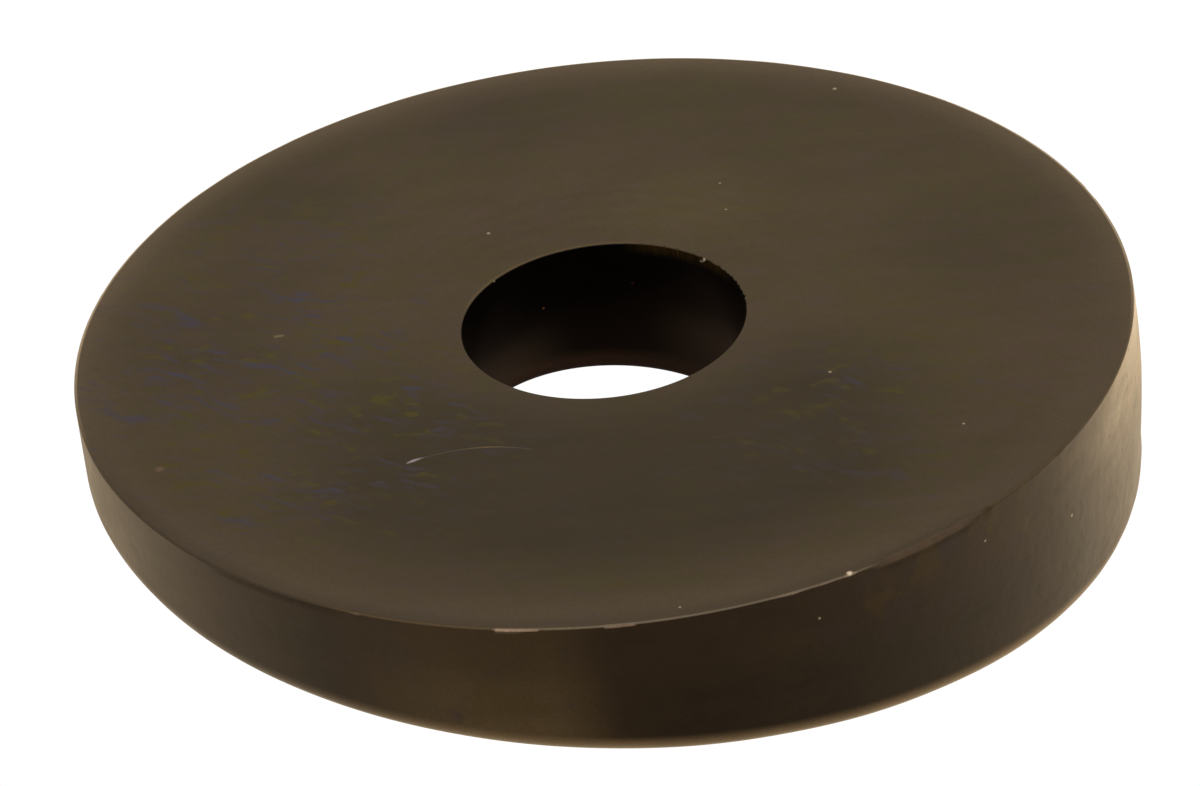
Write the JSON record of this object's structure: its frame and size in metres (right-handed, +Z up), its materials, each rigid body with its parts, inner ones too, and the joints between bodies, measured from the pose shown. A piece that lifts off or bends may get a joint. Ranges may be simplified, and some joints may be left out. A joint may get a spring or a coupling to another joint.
{
  "type": "flat washer",
  "caption": "Round black rubber washer with a plain central bolt hole; its underside is inclined to its upper face, so one side is thicker than the other.",
  "frame": {"origin": "foot of the bolt hole's axis, in the plane of the underside that the washer rests on", "axes": "+Z up out of the underside, +X towards the thickest side, +Y across the washer"},
  "size_m": [0.0257, 0.0254, 0.005],
  "materials": {
    "rubber": "satin"
  },
  "bodies": {
    "root": {"washer": "rubber"}
  },
  "joints": []
}
